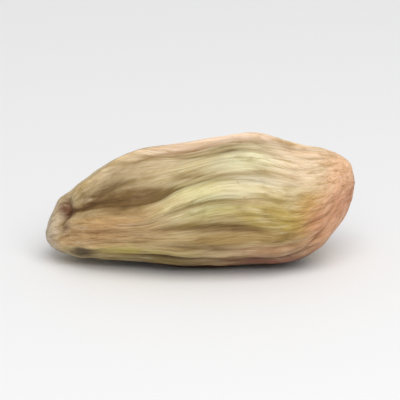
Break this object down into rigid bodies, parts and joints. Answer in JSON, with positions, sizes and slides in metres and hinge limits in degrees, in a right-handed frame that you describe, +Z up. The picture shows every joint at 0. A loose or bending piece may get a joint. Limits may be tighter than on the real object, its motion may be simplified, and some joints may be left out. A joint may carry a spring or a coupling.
{
  "type": "pistachio kernel",
  "caption": "Whole shelled pistachio kernel lying on its side: a pointed tip, a blunt end and wrinkled green skin.",
  "frame": {"origin": "middle of the kernel's footprint on the surface that it lies on, level with its flat resting spot", "axes": "+X from the pointed tip to the blunt end, -Y towards the front with the main ridge and the hollow, +Z up"},
  "size_m": [0.0176, 0.0086, 0.0073],
  "materials": {
    "seed_skin": "dry, faintly oily seed skin: pale green and cream ridges, olive creases, tan ends, purple blush on the back"
  },
  "bodies": {
    "root": {"kernel": "seed_skin"}
  },
  "joints": []
}
